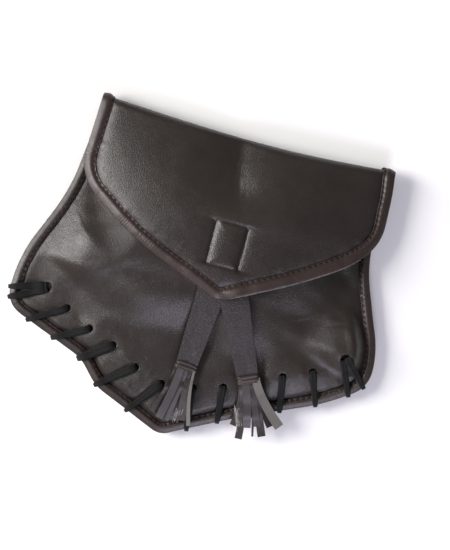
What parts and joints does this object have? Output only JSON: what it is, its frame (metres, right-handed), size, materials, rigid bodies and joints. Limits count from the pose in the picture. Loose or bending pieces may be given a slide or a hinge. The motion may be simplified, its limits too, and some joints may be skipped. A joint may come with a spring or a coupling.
{
  "type": "belt pouch",
  "caption": "Flat leather belt pouch with a pointed flap, bound edges, a cord laced round its bottom edge, and straps that end in tassels.",
  "frame": {"origin": "under the middle of the pouch's box, on the surface that it lies on", "axes": "+X across the pouch to the right, +Y towards the fold of the flap, +Z out of the front"},
  "size_m": [0.2208, 0.1826, 0.0286],
  "materials": {
    "leather": "dark brown imitation leather, satin to glossy, with a fine grain",
    "binding": "reddish dark brown imitation leather strip, folded round the edge and sewn",
    "lace": "matte black cord",
    "fastener": "black hook-and-loop tape",
    "thread": "dark brown sewing thread",
    "backing": "grey knitted backing of the imitation leather"
  },
  "bodies": {
    "root": {"back_panel": "leather", "front_panel": "leather", "flap": "leather", "body_binding": "binding", "flap_binding": "binding", "lace": "lace", "fastener_patch": "fastener", "belt_loop": "leather", "strap_left": "leather", "strap_right": "leather", "tassel_band_left": "leather", "tassel_band_right": "leather", "tassel_left": "leather", "tassel_right": "leather"}
  },
  "joints": []
}
